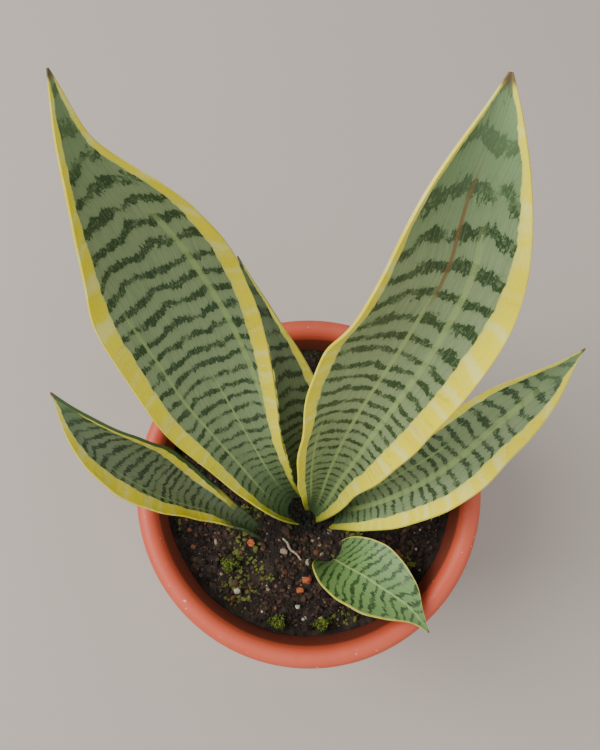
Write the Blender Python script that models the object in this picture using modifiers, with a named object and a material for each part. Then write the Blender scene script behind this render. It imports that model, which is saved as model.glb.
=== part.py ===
"""Potted snake plant: a round plastic pot, a plug of soil, six leaves and the small bits on the soil.

Metres, +Z up. The pot stands on z = 0 with its axis on the z axis.
"""

import math
import random

import bmesh
import bpy
from mathutils import Vector

GAP = 0.0003                # what touching pieces keep between them

# ---------------------------------------------------------------- pot
POT_HEIGHT = 0.180
RIM_RADIUS = 0.110          # widest point of the rolled rim
MOUTH_RADIUS = 0.0975       # inside edge of the rim
RIM_BAND = 0.022            # height of the rim, from the mouth to its lower edge
FOOT_RADIUS = 0.079
WALL = 0.003
FLOOR = 0.004
CORNER = 0.006              # chamfer between floor and wall, inside
DRAIN_HOLES = 4
DRAIN_RADIUS = 0.006
DRAIN_CIRCLE = 0.045
POT_STEPS = 60              # facets round the pot, and round the soil that fills it

# ---------------------------------------------------------------- soil
SOIL_LEVEL = POT_HEIGHT - 0.025
SOIL_RELIEF = 0.0012        # height of the uneven top
SOIL_RINGS = 14

# ---------------------------------------------------------------- leaves
ROOT_LEVEL = POT_HEIGHT - 0.036     # where each leaf ends, in its socket in the soil
LEAF_ROWS = 26
LEAF_COLUMNS = 8
MARGIN_THICKNESS = 0.0011
SOCKET_ROWS = 6             # rows of the leaf that its socket cutter follows

# Each leaf is a midrib that leans and turns, with a blade folded up into a channel and rolled about it.
# Six values, evenly spaced from root to tip, give lean from the vertical, heading from +X, fold and
# roll in degrees, and half width in millimetres. Root, length and thickness are in millimetres too.
LEAVES = {
    "leaf_tall_left": {
        "root": (-6.6, -16.7), "length": 325, "thickness": 3.2,
        "lean": (36, 45, 42, 34, 20, 14),
        "heading": (153, 123, 113, 114, 118, 112),
        "half_width": (12, 23, 37, 40, 24, 0.6),
        "fold": (86, 62, 36, 30, 48, 60),
        "roll": (20, 4, 10, 10, 0, -20),
    },
    "leaf_tall_right": {
        "root": (3.0, -18.5), "length": 332, "thickness": 3.2,
        "lean": (17, 23, 23, 20, 28, 56),
        "heading": (55, 68, 59, 56, 72, 82),
        "half_width": (5, 22, 32, 35, 29, 0.6),
        "fold": (80, 76, 64, 48, 40, 30),
        "roll": (-20, 5, 13, 15, 20, 10),
    },
    "leaf_back": {
        "root": (1, -1), "length": 222, "thickness": 2.8,
        "lean": (12, 17, 24, 31, 36, 38),
        "heading": (90, 98, 108, 114, 116, 115),
        "half_width": (5, 11, 15, 17, 12, 0.6),
        "fold": (46, 50, 46, 40, 36, 30),
        "roll": (0, -4, -6, -4, -3, -6),
    },
    "leaf_low_right": {
        "root": (14, -16), "length": 213, "thickness": 2.8,
        "lean": (26, 38, 43, 47, 51, 54),
        "heading": (2, 14, 28, 38, 44, 52),
        "half_width": (13, 19, 24, 23, 16, 0.6),
        "fold": (60, 50, 38, 34, 34, 40),
        "roll": (0, -5, -8, -10, -10, -8),
    },
    "leaf_low_left": {
        "root": (-27, -34), "length": 194, "thickness": 2.8,
        "lean": (40, 44, 42, 40, 40, 42),
        "heading": (146, 154, 156, 146, 130, 118),
        "half_width": (4, 10, 18, 22, 15, 0.6),
        "fold": (95, 84, 64, 58, 54, 40),
        "roll": (30, 32, 26, 16, 2, -8),
    },
    "leaf_small_front": {
        "root": (15, -45), "length": 94, "thickness": 2.2,
        "lean": (8, 26, 50, 70, 84, 92),
        "heading": (-45, -38, -33, -33, -39, -45),
        "half_width": (4, 18, 24, 23, 14, 0.6),
        "fold": (80, 58, 36, 30, 30, 30),
        "roll": (-10, -20, -21, -20, -24, -28),
    },
}

# ---------------------------------------------------------------- bits on the soil
# name: (x, y, width, height) in millimetres
BRICK_CHIPS = {
    "brick_chip_1": (-1, -59, 8, 5),
    "brick_chip_2": (-6, -66, 6, 4),
    "brick_chip_3": (-38, -36, 7, 4),
}
PEBBLES = {
    "pebble_1": (-7, -76, 5, 3),
    "pebble_2": (-46, -66, 6, 4),
}
MOSS_CLUMPS = {
    "moss_clump_1": (-20, -84, 15, 4),
    "moss_clump_2": (8, -86, 13, 4),
    "moss_clump_3": (-52, -49, 14, 5),
}
# the dry root's route over the soil, in millimetres
DRY_ROOT = ((-17, -33), (-14, -36), (-12, -40), (-8, -43), (-5, -47))
DRY_ROOT_RADIUS = 0.0008

TERRACOTTA = (0.60, 0.23, 0.14, 1.0)
SOIL_BROWN = (0.030, 0.020, 0.014, 1.0)
LEAF_GREEN = (0.13, 0.22, 0.10, 1.0)
YOUNG_GREEN = (0.13, 0.30, 0.09, 1.0)
SHADE_GREEN = (0.05, 0.12, 0.04, 1.0)
BRICK_ORANGE = (0.50, 0.16, 0.06, 1.0)
PALE_STONE = (0.48, 0.45, 0.40, 1.0)
MOSS_GREEN = (0.08, 0.12, 0.02, 1.0)
DRY_ROOT_TAN = (0.40, 0.32, 0.20, 1.0)

MM = 0.001


# ---------------------------------------------------------------- helpers

def clear_scene():
    for item in list(bpy.data.objects):
        bpy.data.objects.remove(item, do_unlink=True)


def new_collection(name):
    collection = bpy.data.collections.new(name)
    bpy.context.scene.collection.children.link(collection)
    return collection


def new_material(name, colour, roughness):
    material = bpy.data.materials.new(name)
    material.use_nodes = True
    shader = material.node_tree.nodes["Principled BSDF"]
    shader.inputs["Base Color"].default_value = colour
    shader.inputs["Roughness"].default_value = roughness
    shader.inputs["Metallic"].default_value = 0.0
    return material


def add_object(name, build, collection, material=None):
    """Makes a shaded mesh object from a bmesh and frees the bmesh."""
    mesh = bpy.data.meshes.new(name)
    build.to_mesh(mesh)
    build.free()
    mesh.shade_smooth()
    mesh.set_sharp_from_angle(angle=math.radians(40))
    if material:
        mesh.materials.append(material)
    piece = bpy.data.objects.new(name, mesh)
    collection.objects.link(piece)
    return piece


def cut(piece, cutter):
    """Takes the cutter's shape out of the piece with a Boolean, and hides the cutter."""
    cutter.hide_render = True
    cutter.display_type = "WIRE"
    modifier = piece.modifiers.new(cutter.name, "BOOLEAN")
    modifier.operation = "DIFFERENCE"
    modifier.solver = "EXACT"
    modifier.object = cutter


def arc(centre_x, centre_z, radius, start, end, count):
    """Points on an arc in the profile's plane, with angles in degrees from +X toward +Z."""
    points = []
    for k in range(count + 1):
        angle = math.radians(start + (end - start) * k / count)
        points.append((centre_x + radius * math.cos(angle), centre_z + radius * math.sin(angle)))
    return points


def turned(name, profile, steps, collection, material):
    """A solid of revolution: a profile from axis to axis, turned about the z axis."""
    build = bmesh.new()
    points = [build.verts.new((x, 0.0, z)) for x, z in profile]
    for above, below in zip(points, points[1:]):
        build.edges.new((above, below))
    piece = add_object(name, build, collection, material)
    screw = piece.modifiers.new("turn", "SCREW")
    screw.axis = "Z"
    screw.steps = steps
    screw.render_steps = steps
    screw.use_merge_vertices = True
    screw.merge_threshold = 0.00001
    return piece


def ease(values, share):
    """A smooth curve through evenly spaced values, read at a share from 0 to 1."""
    last = len(values) - 1
    place = min(max(share, 0.0), 1.0) * last
    k = min(int(place), last - 1)
    f = place - k
    b, c = values[k], values[k + 1]
    a = values[k - 1] if k > 0 else 2 * b - c
    d = values[k + 2] if k + 2 <= last else 2 * c - b
    return b + 0.5 * f * (c - a + f * (2 * a - 5 * b + 4 * c - d + f * (3 * (b - c) + d - a)))


# ---------------------------------------------------------------- pot

def inner_radius(height):
    """Radius of the pot's inside, an even taper from the floor to the mouth."""
    at_foot = FOOT_RADIUS - WALL
    return at_foot + (MOUTH_RADIUS - at_foot) * height / POT_HEIGHT


def pot_profile():
    """The pot's section: up the inside, over the rolled rim, and down the outside to the foot."""
    bead = (RIM_RADIUS - MOUTH_RADIUS) / 2
    bead_x = MOUTH_RADIUS + bead
    bead_z = POT_HEIGHT - bead
    skirt = POT_HEIGHT - RIM_BAND
    hollow = bead - WALL
    inside = [(0.0, FLOOR), (inner_radius(FLOOR) - CORNER, FLOOR)]
    inside += [(inner_radius(FLOOR + CORNER), FLOOR + CORNER)]
    inside += [(inner_radius(bead_z), bead_z)]
    over = arc(bead_x, bead_z, bead, 165, 0, 12)
    lower_edge = arc(RIM_RADIUS - 0.001 - WALL / 2, skirt + WALL / 2, WALL / 2, 0, -180, 6)
    under = arc(bead_x + 0.0005, bead_z, hollow, 0, 180, 8)
    outside = [(inner_radius(skirt) + WALL, skirt)]
    foot = arc(FOOT_RADIUS - 0.002, 0.002, 0.002, 0, -90, 3)
    return inside + over + lower_edge + under + outside + foot + [(0.0, 0.0)]


def make_pot(collection, cutters):
    material = new_material("pot_plastic", TERRACOTTA, 0.55)
    pot = turned("pot", pot_profile(), POT_STEPS, collection, material)
    for k in range(DRAIN_HOLES):
        angle = math.tau * (k + 0.5) / DRAIN_HOLES
        build = bmesh.new()
        bmesh.ops.create_cone(build, cap_ends=True, segments=20, radius1=DRAIN_RADIUS,
                              radius2=DRAIN_RADIUS, depth=3 * FLOOR)
        drain = add_object(f"drain_{k + 1}", build, cutters)
        drain.location = (DRAIN_CIRCLE * math.cos(angle), DRAIN_CIRCLE * math.sin(angle), FLOOR / 2)
        cut(pot, drain)


# ---------------------------------------------------------------- soil

def soil_height(x, y):
    """Height of the soil's uneven top."""
    waves = math.sin(95 * x + 1) * math.sin(80 * y) + 0.6 * math.sin(170 * x - 60 * y + 2)
    return SOIL_LEVEL + SOIL_RELIEF * waves


def make_soil(collection, sockets):
    """The plug of soil, with a socket cut for each leaf."""
    edge = inner_radius(SOIL_LEVEL) - GAP
    floor = FLOOR + GAP
    profile = [(edge * k / SOIL_RINGS, SOIL_LEVEL) for k in range(SOIL_RINGS + 1)]
    profile += [(inner_radius(FLOOR + CORNER) - GAP, FLOOR + CORNER)]
    profile += [(inner_radius(FLOOR) - CORNER - GAP, floor), (0.0, floor)]
    material = new_material("potting_soil", SOIL_BROWN, 0.95)
    plain = turned("soil_plain", profile, POT_STEPS, sockets, material)
    graph = bpy.context.evaluated_depsgraph_get()
    mesh = bpy.data.meshes.new_from_object(plain.evaluated_get(graph))
    bpy.data.objects.remove(plain, do_unlink=True)
    for vertex in mesh.vertices:
        if vertex.co.z > SOIL_LEVEL - GAP:
            vertex.co.z = soil_height(vertex.co.x, vertex.co.y)
    mesh.name = "soil"
    soil = bpy.data.objects.new("soil", mesh)
    collection.objects.link(soil)
    for name, leaf in LEAVES.items():
        cut(soil, make_leaf(f"{name}_socket", leaf, sockets, None, SOCKET_ROWS, GAP))


# ---------------------------------------------------------------- leaves

def leaf_direction(leaf, share):
    lean = math.radians(ease(leaf["lean"], share))
    heading = math.radians(ease(leaf["heading"], share))
    return Vector((math.sin(lean) * math.cos(heading), math.sin(lean) * math.sin(heading), math.cos(lean)))


def midrib(leaf):
    """The midrib's points, one for each row from root to tip."""
    step = leaf["length"] * MM / LEAF_ROWS
    x, y = leaf["root"]
    points = [Vector((x * MM, y * MM, ROOT_LEVEL))]
    for row in range(LEAF_ROWS):
        points.append(points[-1] + step * leaf_direction(leaf, (row + 0.5) / LEAF_ROWS))
    return points


def leaf_section(leaf, share, centre, grown):
    """One closed section across the blade: its upper face from margin to margin, then its lower face."""
    along = leaf_direction(leaf, share)
    heading = math.radians(ease(leaf["heading"], share))
    roll = math.radians(ease(leaf["roll"], share))
    fold = math.radians(ease(leaf["fold"], share))
    half = ease(leaf["half_width"], share) * MM
    level = Vector((-math.sin(heading), math.cos(heading), 0.0))
    upward = along.cross(level)
    side = level * math.cos(roll) + upward * math.sin(roll)
    face = upward * math.cos(roll) - level * math.sin(roll)
    middle = leaf["thickness"] * MM * (1.0 - 0.55 * share ** 2)
    margin = min(MARGIN_THICKNESS, middle)
    upper, lower = [], []
    for k in range(LEAF_COLUMNS + 1):
        u = 2 * k / LEAF_COLUMNS - 1
        angle = fold * u * (half + grown) / half
        radius = half / fold
        point = centre + side * radius * math.sin(angle) + face * radius * (1 - math.cos(angle))
        normal = face * math.cos(angle) - side * math.sin(angle)
        thick = (margin + (middle - margin) * (1 - u * u)) / 2 + grown
        upper.append(point + normal * thick)
        lower.append(point - normal * thick)
    return upper + lower[::-1]


def make_leaf(name, leaf, collection, material, rows=LEAF_ROWS, grown=0.0):
    """Lofts the blade through its sections. A socket cutter is the same loft, grown by the gap."""
    centres = midrib(leaf)
    centres[0] = centres[0] - leaf_direction(leaf, 0.0) * grown
    build = bmesh.new()
    rings = []
    for row in range(rows + 1):
        section = leaf_section(leaf, row / LEAF_ROWS, centres[row], grown)
        rings.append([build.verts.new(point) for point in section])
    count = len(rings[0])
    for near, far in zip(rings, rings[1:]):
        for k in range(count):
            following = (k + 1) % count
            build.faces.new((near[k], far[k], far[following], near[following]))
    build.faces.new(rings[0])
    build.faces.new(reversed(rings[-1]))
    bmesh.ops.triangulate(build, faces=build.faces[:])
    return add_object(name, build, collection, material)


def make_leaves(collection):
    green = new_material("leaf_variegated", LEAF_GREEN, 0.45)
    shade = new_material("leaf_shaded", SHADE_GREEN, 0.50)
    young = new_material("leaf_young", YOUNG_GREEN, 0.40)
    own = {"leaf_back": shade, "leaf_small_front": young}
    for name, leaf in LEAVES.items():
        make_leaf(name, leaf, collection, own.get(name, green))


# ---------------------------------------------------------------- bits on the soil

def lay_on_soil(build, x, y):
    """Moves a bit's vertices to (x, y) and down until one of them is a gap above the soil."""
    lowest = min(v.co.z - soil_height(v.co.x + x, v.co.y + y) for v in build.verts)
    for vertex in build.verts:
        vertex.co += Vector((x, y, GAP + 0.0002 - lowest))


def make_bits(bits, colour, roughness, roughen, collection):
    """Small lumps: squashed spheres with an uneven surface."""
    material = new_material(next(iter(bits)).rsplit("_", 1)[0], colour, roughness)
    for name, (x, y, width, height) in bits.items():
        chance = random.Random(name)
        build = bmesh.new()
        bmesh.ops.create_icosphere(build, subdivisions=2, radius=0.5)
        for vertex in build.verts:
            vertex.co *= 1 + roughen * (chance.random() - 0.5)
            vertex.co.x *= width * MM
            vertex.co.y *= width * MM * 0.8
            vertex.co.z *= height * MM
        lay_on_soil(build, x * MM, y * MM)
        add_object(name, build, collection, material)


def make_dry_root(collection):
    """A thin dry root: a tube that follows the soil's top."""
    curve = bpy.data.curves.new("dry_root", "CURVE")
    curve.dimensions = "3D"
    curve.bevel_depth = DRY_ROOT_RADIUS
    curve.bevel_resolution = 2
    curve.use_fill_caps = True
    curve.resolution_u = 4
    spline = curve.splines.new("BEZIER")
    spline.bezier_points.add(len(DRY_ROOT) - 1)
    for point, (x, y) in zip(spline.bezier_points, DRY_ROOT):
        z = soil_height(x * MM, y * MM) + DRY_ROOT_RADIUS + 2 * GAP
        point.co = (x * MM, y * MM, z)
        point.handle_left_type = "AUTO"
        point.handle_right_type = "AUTO"
    curve.materials.append(new_material("dry_root", DRY_ROOT_TAN, 0.8))
    collection.objects.link(bpy.data.objects.new("dry_root", curve))


def main():
    clear_scene()
    plant = new_collection("potted_snake_plant")
    cutters = new_collection("cutters")
    make_pot(plant, cutters)
    make_soil(plant, cutters)
    make_leaves(plant)
    make_bits(BRICK_CHIPS, BRICK_ORANGE, 0.9, 0.5, plant)
    make_bits(PEBBLES, PALE_STONE, 0.7, 0.25, plant)
    make_bits(MOSS_CLUMPS, MOSS_GREEN, 1.0, 0.35, plant)
    make_dry_root(plant)


main()
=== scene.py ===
"""Potted snake plant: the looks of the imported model, laid out as an add-on and run as a script.

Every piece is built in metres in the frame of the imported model, and rides on its one body.
"""

import math
import random

import bmesh
import bpy
from bpy.props import FloatProperty, FloatVectorProperty, IntProperty, PointerProperty
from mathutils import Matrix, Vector, noise


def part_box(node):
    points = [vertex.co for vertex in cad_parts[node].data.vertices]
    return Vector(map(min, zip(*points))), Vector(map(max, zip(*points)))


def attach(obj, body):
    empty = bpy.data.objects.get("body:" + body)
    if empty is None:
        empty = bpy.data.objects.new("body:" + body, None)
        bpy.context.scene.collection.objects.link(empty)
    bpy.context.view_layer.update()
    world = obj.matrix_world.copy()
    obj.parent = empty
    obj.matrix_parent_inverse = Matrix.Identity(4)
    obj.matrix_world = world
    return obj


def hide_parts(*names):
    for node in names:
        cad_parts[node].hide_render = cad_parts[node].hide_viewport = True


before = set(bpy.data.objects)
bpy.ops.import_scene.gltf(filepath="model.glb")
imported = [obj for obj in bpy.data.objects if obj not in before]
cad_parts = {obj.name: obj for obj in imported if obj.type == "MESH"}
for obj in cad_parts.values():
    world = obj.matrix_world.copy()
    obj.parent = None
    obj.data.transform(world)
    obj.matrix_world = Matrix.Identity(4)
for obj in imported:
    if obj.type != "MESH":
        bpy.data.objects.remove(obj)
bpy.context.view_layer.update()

bl_info = {
    "name": "Potted snake plant",
    "version": (1, 0, 0),
    "blender": (4, 5, 0),
    "location": "View3D > Sidebar > Plant",
    "description": "Builds a snake plant in a round pot, piece by piece",
    "category": "Object",
}

MM = 0.001
BODY = "root"
POT_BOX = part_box("pot")
SOIL_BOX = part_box("soil")
RELIEF_BELOW = 0.0018       # how far the soil's hollows go under its mean level
RIM_RADIUS = POT_BOX[1][0]
POT_HEIGHT = POT_BOX[1][2]
SOIL_LEVEL = SOIL_BOX[1][2] - RELIEF_BELOW
ROOT_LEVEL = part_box("leaf_tall_left")[0][2]

# Each leaf is a midrib that leans and turns, with a blade folded up into a channel and rolled about it.
# Six values, evenly spaced from root to tip, give lean from the vertical, heading from +X, fold and
# roll in degrees, and half width in millimetres. Root, length, thickness, wave (how far the margins
# ripple) and band (the pitch of the dark bands at root and tip) are in millimetres too. Reach says how
# much of the half width the left and the right side take, in eleven steps from root to tip. Yellow is
# the width of the pale margin on each side, start the share of the length where it begins, curl the
# width of underside that shows outside it, and tone how dark the leaf is. Each streak runs from one
# place across the blade to another, between two shares of the length, with a width in millimetres.
LEAVES = {
    "leaf_tall_left": {
        "root": (-6.6, -16.7), "length": 325, "thickness": 3.2, "wave": 0.8,
        "lean": (36, 45, 42, 34, 20, 14),
        "heading": (153, 123, 113, 114, 118, 112),
        "half_width": (12, 23, 37, 40, 24, 0.6),
        "fold": (86, 62, 36, 30, 48, 60),
        "roll": (20, 4, 10, 10, 0, -20),
        "left": (1, 0.95, 0.90, 0.95, 1.02, 1.00, 1.04, 1.08, 1.12, 1.04, 1.0),
        "right": (1, 1.1, 1.16, 1.08, 1.04, 1.02, 1.02, 1.06, 0.92, 0.20, 0.3),
        "band": (4.5, 17), "yellow": (10.0, 8.5), "start": 0.0, "curl": 0.0, "tone": 0.95, "seed": 3,
        "streaks": ((-0.80, -0.36, 0.28, 0.78, 2.0), (0.28, 0.60, 0.12, 0.64, 1.1),
                    (-0.30, -0.10, 0.10, 0.45, 0.8)),
    },
    "leaf_tall_right": {
        "root": (3.0, -18.5), "length": 332, "thickness": 3.2, "wave": 1.0,
        "lean": (17, 23, 23, 20, 28, 56),
        "heading": (55, 68, 59, 56, 72, 82),
        "half_width": (5, 22, 32, 35, 29, 0.6),
        "fold": (80, 76, 64, 48, 40, 30),
        "roll": (-20, 5, 13, 15, 20, 10),
        "left": (1, 1.0, 1.02, 1.10, 1.10, 1.08, 1.06, 1.08, 1.06, 1.40, 1.2),
        "right": (1, 0.86, 0.80, 0.93, 0.94, 0.94, 0.94, 0.95, 0.97, 1.03, 1.2),
        "band": (4.5, 18), "yellow": (7.0, 11.5), "start": 0.0, "curl": 0.0, "tone": 1.0, "seed": 11,
        "streaks": ((0.08, 0.02, 0.08, 0.78, 1.3), (-0.35, -0.33, 0.08, 0.86, 1.8),
                    (0.55, 0.60, 0.10, 0.44, 1.1)),
    },
    "leaf_back": {
        "root": (1, -1), "length": 222, "thickness": 2.8, "wave": 0.4,
        "lean": (12, 17, 24, 31, 36, 38),
        "heading": (90, 98, 108, 114, 116, 115),
        "half_width": (5, 11, 15, 17, 12, 0.6),
        "fold": (46, 50, 46, 40, 36, 30),
        "roll": (0, -4, -6, -4, -3, -6),
        "left": (1.2, 1.3, 1.12, 1.02, 0.88, 0.70, 0.46, 0.26, 0.10, 0.0, 0.3),
        "right": (1, 1.0, 1.0, 1.0, 0.98, 0.94, 0.90, 0.82, 0.70, 0.64, 0.6),
        # the low tone darkens the whole back leaf as painted shade, for the leaves in front of it
        "band": (6, 13), "yellow": (0.0, 4.5), "start": 0.0, "curl": 0.0, "tone": 0.42, "seed": 19,
        "streaks": (),
    },
    "leaf_low_right": {
        "root": (14, -16), "length": 213, "thickness": 2.8, "wave": 0.6,
        "lean": (26, 38, 43, 47, 51, 54),
        "heading": (2, 14, 28, 38, 44, 52),
        "half_width": (13, 19, 24, 23, 16, 0.6),
        "fold": (60, 50, 38, 34, 34, 40),
        "roll": (0, -5, -8, -10, -10, -8),
        "left": (1, 1.0, 1.0, 1.0, 1.0, 1.02, 1.06, 1.12, 1.14, 1.08, 0.8),
        "right": (0.9, 0.85, 0.84, 0.86, 0.87, 0.89, 0.86, 0.78, 0.77, 0.68, 0.3),
        "band": (4.5, 12), "yellow": (4.0, 9.0), "start": 0.0, "curl": 0.0, "tone": 0.92, "seed": 27,
        "streaks": ((-0.10, 0.0, 0.12, 0.88, 2.2), (0.45, 0.4, 0.2, 0.6, 0.8)),
    },
    "leaf_low_left": {
        "root": (-27, -34), "length": 194, "thickness": 2.8, "wave": 0.6,
        "lean": (40, 44, 42, 40, 40, 42),
        "heading": (146, 154, 156, 146, 130, 118),
        "half_width": (4, 10, 18, 22, 15, 0.6),
        "fold": (95, 84, 64, 58, 54, 40),
        "roll": (30, 32, 26, 16, 2, -8),
        "left": (1, 1.0, 0.80, 0.62, 0.70, 0.75, 0.73, 0.76, 0.79, 0.71, 0.4),
        "right": (1, 1.0, 1.05, 1.10, 1.10, 1.10, 1.16, 1.24, 1.26, 1.26, 1.2),
        "band": (4, 9), "yellow": (8.5, 4.5), "start": 0.24, "curl": 2.4, "tone": 0.55, "seed": 35,
        "streaks": ((0.42, 0.46, 0.30, 0.72, 0.8),),
    },
    "leaf_small_front": {
        "root": (15, -45), "length": 94, "thickness": 2.2, "wave": 0.4,
        "lean": (8, 26, 50, 70, 84, 92),
        "heading": (-45, -38, -33, -33, -39, -45),
        "half_width": (4, 18, 24, 23, 14, 0.6),
        "fold": (80, 58, 36, 30, 30, 30),
        "roll": (-10, -20, -21, -20, -24, -28),
        "left": (1, 1.08, 1.10, 1.08, 1.08, 1.08, 1.06, 1.07, 1.07, 0.86, 0.8),
        "right": (1, 1.06, 1.05, 0.96, 0.90, 0.86, 0.84, 0.76, 0.62, 0.34, 0.3),
        "band": (5, 8), "yellow": (0.8, 0.8), "start": 0.0, "curl": 0.0, "tone": 1.0, "seed": 43,
        "streaks": ((0.0, 0.0, 0.05, 0.97, 0.9),),
    },
}
LEAF_COLUMNS = 28
CAD_ROWS = 26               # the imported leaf's rows: its midrib runs straight from one to the next
MARGIN_THICKNESS = 1.1      # millimetres

CORNER = 0.006              # inside the pot, between wall and floor
DRAINS = 4
DRAIN_RADIUS = 0.006
DRAIN_CIRCLE = 0.045
TURNED_STEPS = 400          # round the soil
SOIL_RINGS = 130
SOIL_GAP = 0.0003           # between the soil and the pot
CHIP_POINTS = 15
TUFT_FLAKES = 260


def colour(name, description, default):
    return FloatVectorProperty(name=name, description=description, default=default, size=4,
                               subtype="COLOR", min=0.0, max=1.0)


def length(name, description, default):
    return FloatProperty(name=name, description=description, default=default,
                         unit="LENGTH", subtype="DISTANCE")


class PotSettings(bpy.types.PropertyGroup):
    mouth: length("Mouth radius", "Inside edge of the rim", 0.0975)
    band: length("Rim band", "Height of the rolled rim", 0.022)
    foot: length("Foot radius", "Radius of the underside", 0.079)
    wall: length("Wall", "Thickness of the wall", 0.003)
    floor: length("Floor", "Thickness of the floor", 0.004)
    steps: IntProperty(name="Steps", description="Facets round the pot", default=160)
    clay: colour("Clay", "The pot's terracotta colour", (0.50, 0.070, 0.030, 1.0))
    worn: colour("Worn", "Where the plastic is chalky", (0.56, 0.110, 0.055, 1.0))
    # darkens the inside of the wall: partly a damp stain, partly painted shade inside the pot
    damp_and_shade: colour("Damp", "The stained inside of the wall", (0.085, 0.018, 0.008, 1.0))


class SoilSettings(bpy.types.PropertyGroup):
    dark: colour("Dark", "Wet potting mix", (0.012, 0.008, 0.006, 1.0))
    brown: colour("Brown", "Drier potting mix", (0.038, 0.024, 0.016, 1.0))
    green: colour("Green", "Moss and algae on the soil", (0.055, 0.075, 0.016, 1.0))
    crumbs: IntProperty(name="Crumbs", description="How many crumbs lie on the soil", default=6000)
    grain: length("Grain", "Height of the soil's grain", 0.0016)


class LeafSettings(bpy.types.PropertyGroup):
    pale: colour("Pale", "Grey-green between the bands", (0.225, 0.290, 0.135, 1.0))
    mid: colour("Mid", "Deeper green of the ground", (0.125, 0.185, 0.070, 1.0))
    dark: colour("Dark", "The cross bands", (0.010, 0.038, 0.004, 1.0))
    yellow: colour("Yellow", "The margin", (0.78, 0.66, 0.006, 1.0))
    cream: colour("Cream", "Pale patches of the margin", (0.76, 0.71, 0.16, 1.0))
    brown: colour("Brown", "The dry tip", (0.100, 0.055, 0.022, 1.0))
    young: colour("Young", "The small leaf's green", (0.125, 0.245, 0.060, 1.0))


# ---------------------------------------------------------------- shader nodes

class Field:
    """A float socket that takes part in plain arithmetic, each step of which is a Math node."""

    def __init__(self, finish, socket):
        self.finish = finish
        self.socket = socket

    def math(self, operation, *others):
        node = self.finish.tree.nodes.new("ShaderNodeMath")
        node.operation = operation
        for slot, value in zip(node.inputs, (self, *others)):
            self.finish.plug(slot, value)
        return Field(self.finish, node.outputs[0])

    def __add__(self, other):
        return self.math("ADD", other)

    def __radd__(self, other):
        return self.math("ADD", other)

    def __sub__(self, other):
        return self.math("SUBTRACT", other)

    def __rsub__(self, other):
        return (self * -1.0).math("ADD", other)

    def __mul__(self, other):
        return self.math("MULTIPLY", other)

    def __rmul__(self, other):
        return self.math("MULTIPLY", other)

    def __truediv__(self, other):
        return self.math("DIVIDE", other)

    def __abs__(self):
        return self.math("ABSOLUTE")

    def __pow__(self, other):
        return self.math("POWER", other)

    def step(self, low, high):
        """Rises smoothly from 0 at low to 1 at high."""
        node = self.finish.add("ShaderNodeMapRange", {"interpolation_type": "SMOOTHSTEP"})
        for name, value in (("Value", self), ("From Min", low), ("From Max", high)):
            self.finish.plug(node.inputs[name], value)
        return Field(self.finish, node.outputs["Result"])


class Finish:
    """A material under construction: its node tree, and the few ways its nodes are made."""

    def __init__(self, name, roughness=0.5, **uniform):
        self.material = bpy.data.materials.new(name)
        self.material.use_nodes = True
        self.tree = self.material.node_tree
        self.shader = self.tree.nodes["Principled BSDF"]
        self.shader.inputs["Roughness"].default_value = roughness
        for socket, value in uniform.items():
            self.shader.inputs[socket.replace("_", " ")].default_value = value

    def plug(self, slot, value):
        if isinstance(value, Field):
            self.tree.links.new(value.socket, slot)
        elif isinstance(value, bpy.types.NodeSocket):
            self.tree.links.new(value, slot)
        else:
            slot.default_value = value

    def add(self, kind, settings=None, inputs=None):
        node = self.tree.nodes.new(kind)
        for name, value in (settings or {}).items():
            setattr(node, name, value)
        for name, value in (inputs or {}).items():
            self.plug(node.inputs[name], value)
        return node

    def place(self):
        """The three object coordinates of the surface, in metres."""
        split = self.add("ShaderNodeSeparateXYZ", None, {0: self.spot()})
        return [Field(self, socket) for socket in split.outputs]

    def spot(self):
        return self.add("ShaderNodeTexCoord").outputs["Object"]

    def attribute(self, name):
        """The three values of one of the piece's own attributes."""
        node = self.add("ShaderNodeAttribute", {"attribute_name": name})
        split = self.add("ShaderNodeSeparateXYZ", None, {0: node.outputs["Vector"]})
        return [Field(self, socket) for socket in split.outputs]

    def joined(self, x, y, z=0.0):
        node = self.add("ShaderNodeCombineXYZ", None, {0: x, 1: y, 2: z})
        return node.outputs[0]

    def noise(self, vector, scale=1.0, detail=2.0, roughness=0.5, distortion=0.0):
        settings = {"Vector": vector, "Scale": scale, "Detail": detail, "Roughness": roughness,
                    "Distortion": distortion}
        return Field(self, self.add("ShaderNodeTexNoise", None, settings).outputs["Fac"])

    def cells(self, vector, scale):
        node = self.add("ShaderNodeTexVoronoi", None, {"Vector": vector, "Scale": scale})
        return Field(self, node.outputs["Distance"])

    def mix(self, share, first, second):
        """A colour between two colours."""
        node = self.add("ShaderNodeMix", {"data_type": "RGBA", "clamp_factor": True})
        self.plug(node.inputs[0], share)
        self.plug(node.inputs[6], first)
        self.plug(node.inputs[7], second)
        return node.outputs[2]

    def bump(self, height, distance, strength=1.0):
        inputs = {"Height": height, "Distance": distance, "Strength": strength}
        self.plug(self.shader.inputs["Normal"], self.add("ShaderNodeBump", None, inputs).outputs[0])

    def done(self, base, roughness=None):
        self.plug(self.shader.inputs["Base Color"], base)
        if roughness is not None:
            self.plug(self.shader.inputs["Roughness"], roughness)
        return self.material


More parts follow.
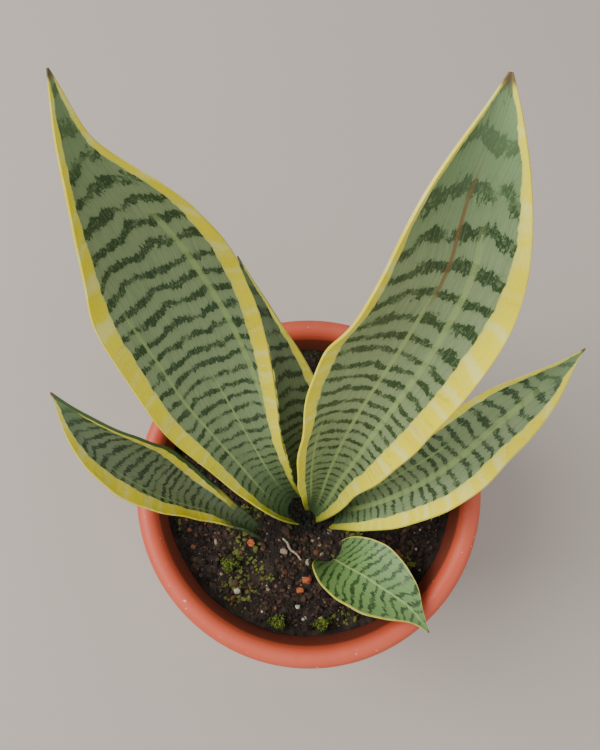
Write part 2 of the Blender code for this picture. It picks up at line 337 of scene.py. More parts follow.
def pot_finish(settings):
    """Terracotta-coloured plastic: faintly mottled, chalky on the rim, inside partly stained and partly
    darkened as painted shade.
    """
    finish = Finish("pot_plastic", 0.5, Specular_IOR_Level=0.4)
    x, y, z = finish.place()
    spot = finish.spot()
    clouds = finish.noise(spot, 22.0, 4.0, 0.6)
    grain = finish.noise(spot, 900.0, 2.0)
    specks = (finish.noise(spot, 420.0, 1.0)).step(0.74, 0.80)
    radius = (x * x + y * y) ** 0.5
    taper = (settings.mouth - settings.foot + settings.wall) / POT_HEIGHT
    wall = z * taper + (settings.foot - settings.wall)
    inside = (wall + 0.0008 - radius).step(0.0, 0.0006) * (POT_HEIGHT - 0.0035 - z).step(0.0, 0.004)
    base = finish.mix(clouds.step(0.35, 0.75) * 0.45, tuple(settings.clay), tuple(settings.worn))
    base = finish.mix(specks * 0.5, base, (0.80, 0.62, 0.52, 1.0))
    # darker in streaks towards the bottom of the pot
    streak_noise = finish.noise(finish.joined(x * 60.0, y * 60.0, z * 9.0), 1.0, 3.0)
    low_streaks = (0.030 - z).step(0.0, 0.030) * streak_noise.step(0.4, 0.7) * 0.5
    base = finish.mix(low_streaks, base, (0.20, 0.12, 0.08, 1.0))
    # the inside of the wall: partly a damp stain, partly painted shade
    base = finish.mix(inside * 0.85, base, tuple(settings.damp_and_shade))
    finish.bump(grain * 0.3 + clouds, 0.0003, 0.35)
    return finish.done(base, 0.44 + clouds * 0.18 + inside * 0.12)


def crown_shade(finish):
    """1 under the middle of the plant, where the leaves meet the soil, fading to 0 round it: the mask of
    painted shade under the leaves.
    """
    x, y, z = finish.place()
    return 1.0 - (((x + 0.004) ** 2.0 + (y + 0.012) ** 2.0) ** 0.5).step(0.010, 0.030)


def soil_finish(settings):
    """Damp potting mix with algae on its grains."""
    finish = Finish("potting_mix", 0.85, Specular_IOR_Level=0.25)
    spot = finish.spot()
    coarse = finish.noise(spot, 90.0, 5.0, 0.65)
    fine = finish.noise(spot, 700.0, 4.0, 0.7)
    patches = finish.noise(spot, 38.0, 3.0, 0.6).step(0.54, 0.66)
    base = finish.mix(coarse.step(0.4, 0.7), tuple(settings.dark), tuple(settings.brown))
    base = finish.mix(patches * fine.step(0.45, 0.65) * 0.75, base, tuple(settings.green))
    base = finish.mix(fine.step(0.66, 0.76) * 0.4, base, (0.17, 0.12, 0.08, 1.0))
    # painted shade: the soil under the leaves is darkened nearly to black
    base = finish.mix(crown_shade(finish) * 0.9, base, (0.004, 0.004, 0.002, 1.0))
    finish.bump(fine + coarse, 0.0012, 0.8)
    return finish.done(base, 0.95 - coarse * 0.3)


def crumb_finish(settings):
    """Crumbs of bark, peat and grit, each with its own tint."""
    finish = Finish("soil_crumbs", 0.85, Specular_IOR_Level=0.25)
    tint, green, ignored = finish.attribute("tint")
    fine = finish.noise(finish.spot(), 1100.0, 3.0)
    base = finish.mix(tint.step(0.2, 0.9), tuple(settings.dark), (0.060, 0.034, 0.020, 1.0))
    base = finish.mix(tint.step(0.90, 0.91) * 0.8, base, (0.16, 0.055, 0.022, 1.0))
    base = finish.mix(tint.step(0.965, 0.975), base, (0.26, 0.22, 0.15, 1.0))
    moss = finish.mix(fine, tuple(settings.green), (0.16, 0.17, 0.022, 1.0))
    base = finish.mix(green * 0.85, base, moss)
    base = finish.mix(fine.step(0.55, 0.75) * 0.3, base, (0.10, 0.07, 0.045, 1.0))
    # painted shade: the crumbs under the leaves are darkened nearly to black
    base = finish.mix(crown_shade(finish) * 0.9, base, (0.004, 0.004, 0.002, 1.0))
    finish.bump(fine, 0.0005, 0.7)
    return finish.done(base)


def lump_finish(name, low, high, scale, roughness):
    """A rough lump in two colours."""
    finish = Finish(name, roughness, Specular_IOR_Level=0.3)
    blotches = finish.noise(finish.spot(), scale, 5.0, 0.7)
    pits = finish.cells(finish.spot(), scale * 3)
    finish.bump(blotches + pits * 0.5, 0.0008, 0.8)
    return finish.done(finish.mix(blotches.step(0.35, 0.65), low, high))


def moss_finish():
    """Moss: nearly black in the depth of the pad, yellow-green at its top."""
    finish = Finish("moss", 0.9, Specular_IOR_Level=0.2)
    tint, green, ignored = finish.attribute("tint")
    fine = finish.noise(finish.spot(), 1200.0, 3.0)
    patches = finish.noise(finish.spot(), 300.0, 2.0)
    base = finish.mix(tint.step(0.15, 0.9), (0.010, 0.018, 0.004, 1.0), (0.14, 0.17, 0.020, 1.0))
    base = finish.mix(patches.step(0.50, 0.66) * 0.6, base, (0.035, 0.045, 0.012, 1.0))
    finish.bump(fine, 0.0003, 0.7)
    return finish.done(base)


def leaf_finish(name, leaf, settings):
    """A waxy blade: pale ground, jagged dark cross bands, fine long streaks and a yellow margin."""
    small = name == "leaf_small_front"
    finish = Finish(name.replace("leaf", "blade"), 0.42, Specular_IOR_Level=0.45)
    across, along, share = finish.attribute("blade")
    margin, side, half = finish.attribute("margin")
    u = across / half
    seed = float(leaf["seed"])
    tone = leaf["tone"]

    # tone scales a leaf's colours; the back leaf's low tone is painted shade
    def tinted(tint, power=1.0):
        return tuple(part * tone ** power for part in tint[:3]) + (1.0,)

    fibre = finish.noise(finish.joined(across * 1.3, along * 0.035, seed), 1.0, 3.0, 0.6)
    thread = finish.noise(finish.joined(across * 4.0, along * 0.06, seed + 5), 1.0, 2.0)
    drift = finish.noise(finish.joined(across * 0.07, along * 0.030, seed + 9), 1.0, 3.0, 0.6)
    teeth = finish.noise(finish.joined(across * 0.9, along * 0.16, seed + 13), 1.0, 4.0, 0.65)
    clumps = finish.noise(finish.joined(across * 0.13, along * 0.10, seed + 17), 1.0, 3.0, 0.6)
    speck = finish.noise(finish.joined(across * 0.75, along * 0.40, seed + 19), 1.0, 4.0, 0.7)
    fan = finish.noise(finish.joined(u * 13.0, along * 0.006, seed + 21), 1.0, 2.0)

    # bands: their pitch grows evenly from the root to the tip
    near, far = leaf["band"]
    total = leaf["length"] / (far - near)
    slant = abs(across) * (0.55 if small else -0.10)
    jag = (drift - 0.5) * 26.0 + (teeth - 0.5) * 9.0
    reach = (along + jag * (share * 0.8 + 0.2) - slant) / leaf["length"]
    turns = (reach * ((far - near) / near) + 1.0).math("MAXIMUM", 0.02).math("LOGARITHM", math.e) * total
    wave = (turns * math.tau).math("COSINE")
    level = 0.42 - (clumps - 0.5) * 2.8 - (speck - 0.5) * 2.6
    level = level + (0.5 - share).step(0.0, 0.4) * 0.30
    band = (wave - level).step(-0.15, 0.25)
    holes = (speck - clumps * 0.4).step(0.30, 0.42) * wave.step(0.6, 1.0) * 0.6
    fade = 1.0 - share.step(0.84, 0.96) * 0.45
    broken = band * (1.0 - fibre.step(0.52, 0.68) * 0.5) * (1.0 - holes) * fade
    halo = (wave - level).step(-1.3, 0.3)

    pale = tinted(settings.young if small else settings.pale)
    ground = finish.mix(fibre.step(0.3, 0.7) * 0.5 + halo * 0.30, pale, tinted(settings.mid))
    ground = finish.mix(share.step(0.78, 0.95) * 0.55, ground, tinted((0.100, 0.190, 0.062)))
    # painted shade: the blade's green darkens toward its root
    root_shade = (0.42 - share).step(0.0, 0.42)
    ground = finish.mix(root_shade * 0.80, ground, tinted((0.065, 0.110, 0.036)))
    base = finish.mix(broken * 0.95, ground, tinted(settings.dark))
    base = finish.mix(fan.step(0.60, 0.70) * (0.12 + root_shade * 0.30), base, tinted((0.24, 0.31, 0.10)))
    for first, last, begin, end, wide in leaf["streaks"]:
        centre = (share - begin) * ((last - first) / (end - begin)) + first
        away = abs(across - centre * half)
        strip = (wide - away).step(0.0, wide * 0.6)
        strip = strip * share.step(begin - 0.04, begin + 0.06) * (end + 0.02 - share).step(0.0, 0.10)
        lively = (clumps + fibre * 0.6).step(0.55, 0.95) * 0.35 + 0.50
        base = finish.mix(strip * lively, base, tinted((0.28, 0.38, 0.12)))
    if name == "leaf_tall_right":
        scorch = (1.1 - abs(across)).step(0.0, 0.7)
        scorch = scorch * share.step(0.70, 0.78) * (0.93 - share).step(0.0, 0.06)
        base = finish.mix(scorch * 0.8, base, (0.17, 0.085, 0.020, 1.0))

    # the margin: widest in the middle of the leaf, with paler patches across it
    left, right = leaf["yellow"]
    wide = side * (right - left) + left
    swell = share.step(0.0, 0.40) * 0.62 + 0.38 - share.step(0.62, 1.0) * 0.84
    uneven = finish.noise(finish.joined(side * 9.0, along * 0.11, seed + 25), 1.0, 3.0) - 0.5
    limit = half * 0.42
    width = (wide * swell + leaf["curl"] * side).math("MINIMUM", limit)
    width = width + uneven * (0.5 if small else 2.6) + (fibre - 0.5) * (0.3 if small else 1.4)
    rim = (width - margin).step(-0.25, 0.35)
    if leaf["start"]:
        rim = rim * share.step(leaf["start"] - 0.05, leaf["start"] + 0.05)
    pitch = turns * 0.9
    patch = finish.noise(finish.joined(side * 7.0, pitch, seed + 29), 1.0, 2.0, 0.6).step(0.47, 0.62)
    tick = finish.noise(finish.joined(side * 5.0 + margin * 0.05, pitch * 4.0, seed + 33), 1.0, 2.0)
    gold = finish.mix(patch, tinted(settings.yellow, 0.4), tinted(settings.cream, 0.4))
    inner = (margin - width + 3.0).step(0.0, 3.0)
    gold = finish.mix(inner * 0.35, gold, tinted((0.48, 0.55, 0.16), 0.4))
    gold = finish.mix(tick.step(0.60, 0.72) * 0.40, gold, tinted((0.42, 0.40, 0.02), 0.4))
    gold = finish.mix((0.6 - margin).step(-0.2, 0.5) * 0.30, gold, (0.52, 0.43, 0.03, 1.0))
    # painted shade: the margin darkens toward the root too
    gold = finish.mix(root_shade * 0.35, gold, (0.36, 0.42, 0.04, 1.0))
    base = finish.mix(rim * (0.6 if small else 1.0), base, gold)
    # where the margin curls under, a dark green strip outside the yellow: partly the underside's own green,
    # partly painted shade
    if leaf["curl"]:
        under = (leaf["curl"] + uneven * 3.0 - margin).step(-0.2, 0.2) * side * share.step(0.2, 0.35)
        base = finish.mix(under, base, (0.030, 0.070, 0.014, 1.0))

    # painted shade darkening the blade at its root, where the leaves meet, and the dry tip
    base = finish.mix((0.20 - share).step(0.0, 0.18) * 0.65, base, (0.022, 0.050, 0.014, 1.0))
    tip = (share + (thread - 0.5) * 0.010).step(0.984, 0.994)
    base = finish.mix(tip * 0.9, base, tuple(settings.brown))
    finish.bump(thread * 0.5 + fibre + wave * 0.12, 0.0007, 0.45)
    return finish.done(base, 0.38 + fibre * 0.16 + tip * 0.2)


def plain_finish(name, tone, roughness):
    finish = Finish(name, roughness)
    clouds = finish.noise(finish.spot(), 3.0, 2.0)
    lighter = tuple(min(1.0, 1.04 * part) for part in tone[:3]) + (1.0,)
    return finish.done(finish.mix(clouds, tone, lighter))


# ---------------------------------------------------------------- modelling

def deselect():
    if bpy.context.object and bpy.context.object.mode != "OBJECT":
        bpy.ops.object.mode_set(mode="OBJECT")
    bpy.ops.object.select_all(action="DESELECT")


def make_active(piece):
    deselect()
    piece.select_set(True)
    bpy.context.view_layer.objects.active = piece


def apply_modifiers(piece):
    make_active(piece)
    for modifier in list(piece.modifiers):
        bpy.ops.object.modifier_apply(modifier=modifier.name)


def finish_piece(piece, name, material, slot, *nodes):
    """Names a finished piece, shades it, and hands it to the frame."""
    make_active(piece)
    bpy.ops.object.transform_apply(location=True, rotation=True, scale=True)
    bpy.ops.object.shade_smooth_by_angle(angle=math.radians(50))
    piece.name = name
    piece.data.name = name
    piece.data.materials.clear()
    piece.data.materials.append(material)
    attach(piece, BODY)
    if nodes:
        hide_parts(*nodes)
    return piece


def ease(values, share):
    """A smooth curve through evenly spaced values, read at a share from 0 to 1."""
    last = len(values) - 1
    place = min(max(share, 0.0), 1.0) * last
    k = min(int(place), last - 1)
    f = place - k
    b, c = values[k], values[k + 1]
    a = values[k - 1] if k > 0 else 2 * b - c
    d = values[k + 2] if k + 2 <= last else 2 * c - b
    return b + 0.5 * f * (c - a + f * (2 * a - 5 * b + 4 * c - d + f * (3 * (b - c) + d - a)))


def arc(centre_x, centre_z, radius, start, end, count):
    """Points on an arc in the profile's plane, with angles in degrees from +X toward +Z."""
    points = []
    for k in range(count + 1):
        angle = math.radians(start + (end - start) * k / count)
        points.append((centre_x + radius * math.cos(angle), centre_z + radius * math.sin(angle)))
    return points


def turned(profile, steps):
    """A solid of revolution from a profile that runs from axis to axis."""
    deselect()
    mesh = bpy.data.meshes.new("profile")
    points = [(x, 0.0, z) for x, z in profile]
    mesh.from_pydata(points, [(k, k + 1) for k in range(len(points) - 1)], [])
    piece = bpy.data.objects.new("turned", mesh)
    bpy.context.collection.objects.link(piece)
    screw = piece.modifiers.new("turn", "SCREW")
    screw.steps = steps
    screw.render_steps = steps
    screw.use_merge_vertices = True
    screw.merge_threshold = 0.00001
    apply_modifiers(piece)
    return piece


# ---------------------------------------------------------------- pot

def inner_radius(settings, height):
    at_foot = settings.foot - settings.wall
    return at_foot + (settings.mouth - at_foot) * height / POT_HEIGHT


class PLANT_OT_pot(bpy.types.Operator):
    """Turns the pot with its rolled rim, and drills its drain holes"""
    bl_idname = "plant.pot"
    bl_label = "Pot"

    def execute(self, context):
        settings = context.scene.plant_pot
        bead = (RIM_RADIUS - settings.mouth) / 2
        bead_x = settings.mouth + bead
        bead_z = POT_HEIGHT - bead
        skirt = POT_HEIGHT - settings.band
        radius = inner_radius(settings, settings.floor + CORNER) - CORNER
        half = settings.wall / 2
        profile = [(0.0, settings.floor), (radius * 0.6, settings.floor)]
        profile += arc(radius, settings.floor + CORNER, CORNER, -90, 0, 5)
        profile += [(inner_radius(settings, bead_z * k / 8), bead_z * k / 8) for k in range(1, 9)]
        profile += arc(bead_x, bead_z, bead, 165, 0, 24)
        profile += [(RIM_RADIUS - 0.0004, POT_HEIGHT - settings.band * 0.55)]
        profile += arc(RIM_RADIUS - 0.001 - half, skirt + half, half, 0, -180, 10)
        profile += arc(bead_x + 0.0005, bead_z, bead - settings.wall, 0, 180, 14)
        heights = [skirt * k / 6 for k in (6, 4, 2, 1)]
        profile += [(inner_radius(settings, z) + settings.wall, z) for z in heights]
        profile += arc(settings.foot - 0.002, 0.002, 0.002, 0, -90, 5)
        profile += [(settings.foot * 0.5, 0.0), (0.0, 0.0)]
        pot = turned(profile, settings.steps)
        for k in range(DRAINS):
            angle = math.tau * (k + 0.5) / DRAINS
            place = (DRAIN_CIRCLE * math.cos(angle), DRAIN_CIRCLE * math.sin(angle), settings.floor / 2)
            deselect()
            bpy.ops.mesh.primitive_cylinder_add(vertices=40, radius=DRAIN_RADIUS, depth=3 * settings.floor,
                                                location=place)
            drain = context.object
            hole = pot.modifiers.new("drain", "BOOLEAN")
            hole.operation = "DIFFERENCE"
            hole.solver = "EXACT"
            hole.object = drain
            apply_modifiers(pot)
            bpy.data.objects.remove(drain, do_unlink=True)
        finish_piece(pot, "pot_shell", pot_finish(settings), "pot", "pot")
        return {"FINISHED"}


# ---------------------------------------------------------------- soil

def soil_relief(x, y):
    """The slow waves of the soil's top, the same as the packed soil's."""
    return 0.0012 * (math.sin(95 * x + 1) * math.sin(80 * y) + 0.6 * math.sin(170 * x - 60 * y + 2))


def soil_height(x, y, grain):
    """Height of the soil's top, with crumbly grain that never rises above the packed soil."""
    place = Vector((x, y, 0.3))
    crumbly = noise.fractal(place * 260, 0.9, 2.1, 4)
    clods = abs(noise.noise(place * 95)) + 0.5 * abs(noise.noise(place * 210))
    rough = grain * (0.7 * crumbly + 1.1 * clods - 0.9)
    return min(SOIL_LEVEL + soil_relief(x, y) + rough, SOIL_BOX[1][2])


class PLANT_OT_soil(bpy.types.Operator):
    """Fills the pot with crumbly soil"""
    bl_idname = "plant.soil"
    bl_label = "Soil"

    def execute(self, context):
        pot = context.scene.plant_pot
        settings = context.scene.plant_soil
        edge = inner_radius(pot, SOIL_LEVEL) - SOIL_GAP
        floor = pot.floor + SOIL_GAP
        profile = [(edge * k / SOIL_RINGS, SOIL_LEVEL) for k in range(SOIL_RINGS + 1)]
        profile += [(inner_radius(pot, floor + CORNER) - 2 * SOIL_GAP, floor + CORNER)]
        profile += [(inner_radius(pot, floor) - CORNER - 2 * SOIL_GAP, floor), (0.0, floor)]
        soil = turned(profile, TURNED_STEPS)
        for vertex in soil.data.vertices:
            if vertex.co.z > SOIL_LEVEL - 0.0001:
                vertex.co.z = soil_height(vertex.co.x, vertex.co.y, settings.grain)
        finish_piece(soil, "soil_plug", soil_finish(settings), "soil", "soil")
        return {"FINISHED"}


def mossiness(x, y):
    """How mossy a place is: patches that gather at the front and the left of the pot."""
    patches = noise.noise(Vector((x, y, 0.7)) * 42) + 0.5 * noise.noise(Vector((x, y, 0.2)) * 110)
    return patches - 0.10 - 4.0 * max(0.0, y + 0.02) - 2.0 * max(0.0, x - 0.02)


def small_shape(subdivisions):
    """The corners and the faces of a small round shape of radius 1."""
    deselect()
    bpy.ops.mesh.primitive_ico_sphere_add(subdivisions=subdivisions, radius=1.0)
    base = bpy.context.object
    corners = [vertex.co.copy() for vertex in base.data.vertices]
    sides = [tuple(polygon.vertices) for polygon in base.data.polygons]
    bpy.data.objects.remove(base, do_unlink=True)
    return corners, sides


def tinted_piece(name, points, faces, tints):
    """One piece from many small shapes, with a tint for each of its points."""
    mesh = bpy.data.meshes.new(name)
    mesh.from_pydata(points, [], faces)
    values = mesh.attributes.new("tint", "FLOAT_VECTOR", "POINT").data
    for value, tint in zip(values, tints):
        value.vector = tint
    piece = bpy.data.objects.new(name, mesh)
    bpy.context.collection.objects.link(piece)
    return piece


def scattered(name, count, seed, sizes, reach, sink, grain, shape=(1.0, 0.8, 0.7), moss=0.0):
    """Many copies of one small shape, laid on the soil at random and joined into one piece.

    Sizes is the range of their radius, reach how far from the middle they lie, sink how high their
    centres sit in radii, and shape their proportions. Moss, where it isn't zero, keeps the copies to
    the mossy patches of the soil.
    """
    chance = random.Random(seed)
    points, faces, tints = [], [], []
    corners, sides = small_shape(1)
    for number in range(count):
        radius = reach * math.sqrt(chance.random())
        angle = chance.uniform(0, math.tau)
        x, y = radius * math.cos(angle), radius * math.sin(angle)
        if moss and mossiness(x, y) < moss:
            continue
        size = chance.uniform(*sizes) * (0.6 + 0.8 * chance.random() ** 3)
        squash = Vector([part * chance.uniform(0.7, 1.4) for part in shape])
        turn = Vector((chance.uniform(-1, 1), chance.uniform(-1, 1), 1)).to_track_quat("Z", "X")
        facing = Vector((math.cos(angle * 7), math.sin(angle * 7), 0))
        turn.rotate(Vector((1, 0, 0)).rotation_difference(facing))
        z = soil_height(x, y, grain) + size * sink
        start = len(points)
        tint = chance.random()
        mossy = 1.0 if moss or (mossiness(x, y) > 0.15 and chance.random() < 0.35) else 0.0
        for corner in corners:
            jolt = 1 + 0.35 * (chance.random() - 0.5)
            spot = corner * squash * size * jolt
            spot.rotate(turn)
            points.append(Vector((x, y, z)) + spot)
            tints.append((tint, mossy, 0.0))
        faces += [tuple(start + k for k in side) for side in sides]
    return tinted_piece(name, points, faces, tints)


class PLANT_OT_crumbs(bpy.types.Operator):
    """Scatters crumbs, bark flakes, moss flecks and perlite over the soil"""
    bl_idname = "plant.crumbs"
    bl_label = "Soil crumbs"

    def execute(self, context):
        settings = context.scene.plant_soil
        grain = settings.grain
        mix = crumb_finish(settings)
        pale = lump_finish("perlite", (0.30, 0.26, 0.19, 1.0), (0.62, 0.60, 0.50, 1.0), 600.0, 0.8)
        crumbs = scattered("soil_crumbs", settings.crumbs, 5, (0.0008, 0.0022), 0.0905, 0.10, grain)
        finish_piece(crumbs, "soil_crumbs", mix, "soil")
        bark = scattered("bark_flakes", 800, 6, (0.0012, 0.0026), 0.0885, 0.25, grain, (1.7, 0.7, 0.35))
        finish_piece(bark, "bark_flakes", mix, "soil")
        moss = scattered("moss_flecks", 1500, 7, (0.0008, 0.0019), 0.0885, 0.35, grain, (1.5, 0.8, 0.4), 0.10)
        finish_piece(moss, "moss_flecks", mix, "moss")
        perlite = scattered("perlite_grains", 16, 8, (0.0007, 0.0013), 0.088, 0.4, grain)
        finish_piece(perlite, "perlite_grains", pale, "pebble")
        return {"FINISHED"}


# ---------------------------------------------------------------- leaves

def leaf_axes(leaf, share):
    """The midrib's direction, the blade's side and its face, at a share of the leaf's length."""
    lean = math.radians(ease(leaf["lean"], share))
    heading = math.radians(ease(leaf["heading"], share))
    roll = math.radians(ease(leaf["roll"], share))
    along = Vector((math.sin(lean) * math.cos(heading), math.sin(lean) * math.sin(heading), math.cos(lean)))
    level = Vector((-math.sin(heading), math.cos(heading), 0.0))
    upward = along.cross(level)
    side = level * math.cos(roll) + upward * math.sin(roll)
    face = upward * math.cos(roll) - level * math.sin(roll)
    return along, side, face


def midrib(leaf, rows):
    """The midrib's points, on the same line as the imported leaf's."""
    step = leaf["length"] * MM / CAD_ROWS
    x, y = leaf["root"]
    knots = [Vector((x * MM, y * MM, ROOT_LEVEL))]
    for row in range(CAD_ROWS):
        knots.append(knots[-1] + step * leaf_axes(leaf, (row + 0.5) / CAD_ROWS)[0])
    return [ease(knots, row / rows) for row in range(rows + 1)]


def reaches(leaf, share):
    """How far the left and the right side of the blade go, in half widths."""
    return max(ease(leaf["left"], share), -0.1), max(ease(leaf["right"], share), 0.15)


def blade_point(leaf, share, centre, u, axes):
    """A point of the blade's middle surface, u from -1 at one margin to 1 at the other."""
    along, side, face = axes
    fold = math.radians(ease(leaf["fold"], share))
    half = max(ease(leaf["half_width"], share), 0.3) * MM
    radius = half / fold
    left, right = reaches(leaf, share)
    angle = fold * ((left - right) / 2 + u * (left + right) / 2)
    ripple = leaf["wave"] * MM * u * u * min(1.0, 6 * share) * min(1.0, 4 * (1 - share))
    ripple *= math.sin(share * 19 + leaf["seed"] + 1.7 * u) + 0.5 * math.sin(share * 43 + 2.4 * u)
    normal = face * math.cos(angle) - side * math.sin(angle)
    return centre + side * radius * math.sin(angle) + face * radius * (1 - math.cos(angle)) + normal * ripple


def build_blade(name, leaf, settings):
    """Shapes a grid into the blade, gives it its thickness and its pattern's coordinates."""
    rows = max(60, int(leaf["length"] * 0.5))
    deselect()
    bpy.ops.mesh.primitive_grid_add(x_subdivisions=LEAF_COLUMNS, y_subdivisions=rows, size=2)
    blade = bpy.context.object
    mesh = blade.data
    centres = midrib(leaf, rows)
    frames = [leaf_axes(leaf, row / rows) for row in range(rows + 1)]
    thickness = blade.vertex_groups.new(name="thickness")
    thickness.add(range(len(mesh.vertices)), 1.0, "REPLACE")
    for name_of_values in ("blade", "margin"):
        mesh.attributes.new(name_of_values, "FLOAT_VECTOR", "POINT")
    pattern = mesh.attributes["blade"].data
    margins = mesh.attributes["margin"].data
    for vertex in mesh.vertices:
        u = vertex.co.x
        share = (vertex.co.y + 1) / 2
        row = round(share * rows)
        half = max(ease(leaf["half_width"], share) * sum(reaches(leaf, share)) / 2, 0.3)
        pattern[vertex.index].vector = (u * half, share * leaf["length"], share)
        margins[vertex.index].vector = (half * (1 - abs(u)), 0.5 + 0.5 * math.copysign(1, -u), half)
        middle = leaf["thickness"] * (1.0 - 0.55 * share ** 2)
        thick = MARGIN_THICKNESS + (middle - MARGIN_THICKNESS) * (1 - u * u)
        thick *= 1.0 - 0.6 * share ** 30
        thickness.add([vertex.index], thick / leaf["thickness"], "REPLACE")
        vertex.co = blade_point(leaf, share, centres[row], u, frames[row])
    solidify = blade.modifiers.new("thickness", "SOLIDIFY")
    solidify.thickness = leaf["thickness"] * MM
    solidify.offset = 0.0
    solidify.vertex_group = "thickness"
    apply_modifiers(blade)
    blade.vertex_groups.clear()
    slot = {"leaf_back": "leaf_shaded", "leaf_small_front": "leaf_young"}.get(name, "leaf")
    finish_piece(blade, name.replace("leaf", "blade"), leaf_finish(name, leaf, settings), slot, name)


class PLANT_OT_leaves(bpy.types.Operator):
    """Grows the six leaves"""
    bl_idname = "plant.leaves"
    bl_label = "Leaves"

    def execute(self, context):
        for name, leaf in LEAVES.items():
            build_blade(name, leaf, context.scene.plant_leaf)
        return {"FINISHED"}


# ---------------------------------------------------------------- bits on the soil

def shard(node, name, seed, edge, material, slot):
    """A broken chip with flat faces and worn edges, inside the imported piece's box."""
    low, high = (Vector(corner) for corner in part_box(node))
    middle, size = (low + high) / 2, high - low
    chance = random.Random(seed)
    deselect()
    bpy.ops.mesh.primitive_ico_sphere_add(subdivisions=2, radius=0.5)
    chip = bpy.context.object
    shape = bmesh.new()
    for number in range(CHIP_POINTS):
        way = Vector([chance.uniform(-1, 1) for axis in range(3)]).normalized() * chance.uniform(0.40, 0.5)
        shape.verts.new(middle + Vector([way[axis] * size[axis] for axis in range(3)]))
    hull = bmesh.ops.convex_hull(shape, input=shape.verts[:])
    bmesh.ops.delete(shape, geom=hull["geom_interior"], context="VERTS")
    bmesh.ops.recalc_face_normals(shape, faces=shape.faces[:])
    shape.to_mesh(chip.data)
    shape.free()
    worn = chip.modifiers.new("worn", "BEVEL")
    worn.width = edge
    worn.segments = 3
    apply_modifiers(chip)
    finish_piece(chip, name, material, slot, node)


def tuft(node, name, seed, material, slot):
    """A low pad of moss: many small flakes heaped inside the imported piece's box."""
    low, high = (Vector(corner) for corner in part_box(node))
    middle, size = (low + high) / 2, high - low
    chance = random.Random(seed)
    corners, sides = small_shape(2)
    points, faces, tints = [], [], []
    for number in range(TUFT_FLAKES):
        angle = chance.uniform(0, math.tau)
        out = math.sqrt(chance.random()) * (0.80 + 0.20 * math.sin(3 * angle + seed))
        rise = chance.uniform(-0.3, 1.0) * math.sqrt(max(0.0, 1 - out * out))
        spot = Vector((0.44 * out * math.cos(angle), 0.44 * out * math.sin(angle), 0.36 * rise))
        centre = middle + Vector([spot[axis] * size[axis] for axis in range(3)])
        span = chance.uniform(0.35, 0.85) * MM
        turn = Vector([chance.uniform(-1, 1) for axis in range(3)]).to_track_quat("Z", "X")
        start = len(points)
        tint = 0.35 * chance.random() + 0.65 * max(0.0, rise)
        for corner in corners:
            bit = Vector((corner.x * 1.7, corner.y * 0.9, corner.z * 0.45)) * span
            bit.rotate(turn)
            point = centre + bit
            points.append([max(low[axis], min(high[axis], point[axis])) for axis in range(3)])
            tints.append((tint, 0.0, 0.0))
        faces += [tuple(start + k for k in side) for side in sides]
    finish_piece(tinted_piece(name, points, faces, tints), name, material, slot, node)


class PLANT_OT_bits(bpy.types.Operator):
    """Lays the brick chips, pebbles and moss on the soil"""
    bl_idname = "plant.bits"
    bl_label = "Chips, pebbles and moss"

    def execute(self, context):
        brick = lump_finish("broken_brick", (0.20, 0.040, 0.012, 1.0), (0.42, 0.120, 0.040, 1.0),
                            350.0, 0.9)
        stone = lump_finish("pale_grit", (0.16, 0.14, 0.09, 1.0), (0.42, 0.38, 0.27, 1.0), 300.0, 0.8)
        moss = moss_finish()
        for k in (1, 2, 3):
            shard(f"brick_chip_{k}", f"brick_bit_{k}", k, 0.25 * MM, brick, "brick")
            tuft(f"moss_clump_{k}", f"moss_pad_{k}", k + 10, moss, "moss")
        for k in (1, 2):
            shard(f"pebble_{k}", f"grit_{k}", k + 20, 0.5 * MM, stone, "pebble")
        return {"FINISHED"}


class PLANT_OT_dry_root(bpy.types.Operator):
    """Lays a thin dry root over the soil"""
    bl_idname = "plant.dry_root"
    bl_label = "Dry root"

    def execute(self, context):
        deselect()
        route = ((-17, -33), (-14, -36), (-12, -40), (-8, -43), (-5, -47))
        bpy.ops.curve.primitive_bezier_curve_add()
        root = context.object
        curve = root.data
        curve.splines.clear()
        spline = curve.splines.new("BEZIER")
        spline.bezier_points.add(len(route) - 1)
        for point, (x, y) in zip(spline.bezier_points, route):
            height = SOIL_LEVEL + soil_relief(x * MM, y * MM) + 0.0013
            point.co = (x * MM, y * MM, height)
            point.radius = 1.0 - 0.04 * abs(x + 12)
            point.handle_left_type = "AUTO"
            point.handle_right_type = "AUTO"
        curve.bevel_depth = 0.0008
        curve.bevel_resolution = 5
        curve.use_fill_caps = True
        make_active(root)
        bpy.ops.object.convert(target="MESH")
        bark = lump_finish("dry_root_bark", (0.22, 0.16, 0.10, 1.0), (0.45, 0.38, 0.27, 1.0), 900.0, 0.85)
        finish_piece(context.object, "dry_root_tube", bark, "dry_root", "dry_root")
        return {"FINISHED"}


# ---------------------------------------------------------------- stage

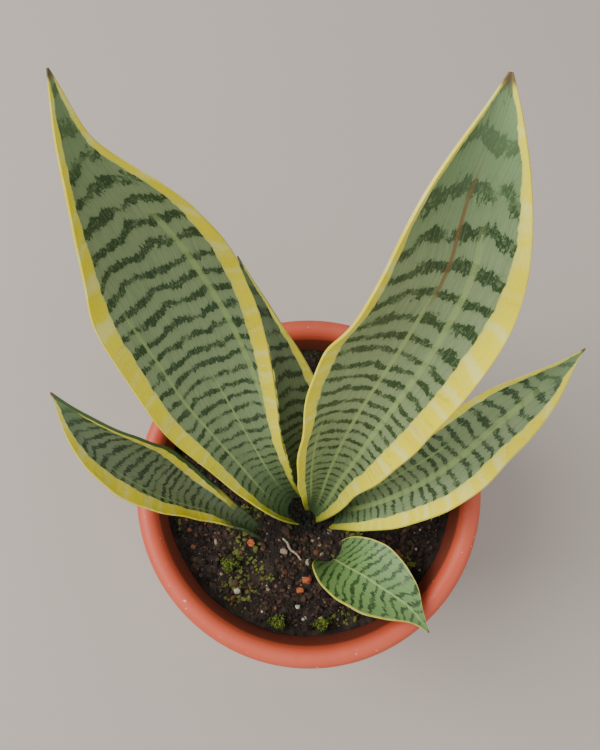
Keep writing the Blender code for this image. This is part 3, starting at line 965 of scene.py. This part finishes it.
class PLANT_OT_stage(bpy.types.Operator):
    """Sets the floor, the soft lights and the camera"""
    bl_idname = "plant.stage"
    bl_label = "Stage"

    def execute(self, context):
        deselect()
        bpy.ops.mesh.primitive_plane_add(size=8.0, location=(0, 0, -0.0005))
        floor = context.object
        floor.name = "stage_floor"
        floor.data.materials.append(plain_finish("stage_paper", (0.38, 0.33, 0.285, 1.0), 0.9))
        world = bpy.data.worlds.new("soft_sky")
        world.use_nodes = True
        sky = world.node_tree.nodes["Background"]
        sky.inputs["Color"].default_value = (0.93, 0.96, 1.0, 1.0)
        sky.inputs["Strength"].default_value = 0.80
        context.scene.world = world
        self.lamp("key", (-1.3, 0.1, 1.7), 1.3, 54)
        self.lamp("fill", (1.3, -0.9, 1.5), 1.6, 9)
        bpy.ops.object.camera_add(location=(-0.0056, -0.0238, POT_HEIGHT + 0.4477),
                                  rotation=(math.radians(12), 0, 0))
        camera = context.object
        camera.name = "view_camera"
        camera.data.lens = 33.6
        camera.data.sensor_width = 36.0
        camera.data.clip_start = 0.01
        context.scene.camera = camera
        return {"FINISHED"}

    def lamp(self, name, place, size, power):
        bpy.ops.object.light_add(type="AREA", location=place)
        lamp = bpy.context.object
        lamp.name = f"{name}_light"
        lamp.data.size = size
        lamp.data.energy = power
        aim = Vector((0, 0, 0.2)) - Vector(place)
        lamp.rotation_euler = aim.to_track_quat("-Z", "Y").to_euler()


# ---------------------------------------------------------------- add-on

STEPS = (PLANT_OT_stage, PLANT_OT_pot, PLANT_OT_soil, PLANT_OT_crumbs, PLANT_OT_leaves, PLANT_OT_bits,
         PLANT_OT_dry_root)


class PLANT_PT_sidebar(bpy.types.Panel):
    bl_label = "Potted snake plant"
    bl_idname = "PLANT_PT_sidebar"
    bl_space_type = "VIEW_3D"
    bl_region_type = "UI"
    bl_category = "Plant"

    def draw(self, context):
        for group in (context.scene.plant_pot, context.scene.plant_soil, context.scene.plant_leaf):
            for name in group.bl_rna.properties.keys():
                if name not in ("rna_type", "name"):
                    self.layout.prop(group, name)
        for step in STEPS:
            self.layout.operator(step.bl_idname)


CLASSES = (PotSettings, SoilSettings, LeafSettings, *STEPS, PLANT_PT_sidebar)


def register():
    for part in CLASSES:
        bpy.utils.register_class(part)
    bpy.types.Scene.plant_pot = PointerProperty(type=PotSettings)
    bpy.types.Scene.plant_soil = PointerProperty(type=SoilSettings)
    bpy.types.Scene.plant_leaf = PointerProperty(type=LeafSettings)


def unregister():
    del bpy.types.Scene.plant_pot
    del bpy.types.Scene.plant_soil
    del bpy.types.Scene.plant_leaf
    for part in reversed(CLASSES):
        bpy.utils.unregister_class(part)


def main():
    register()
    bpy.ops.plant.stage()
    bpy.ops.plant.pot()
    bpy.ops.plant.soil()
    bpy.ops.plant.crumbs()
    bpy.ops.plant.leaves()
    bpy.ops.plant.bits()
    bpy.ops.plant.dry_root()


if __name__ == "__main__":
    main()
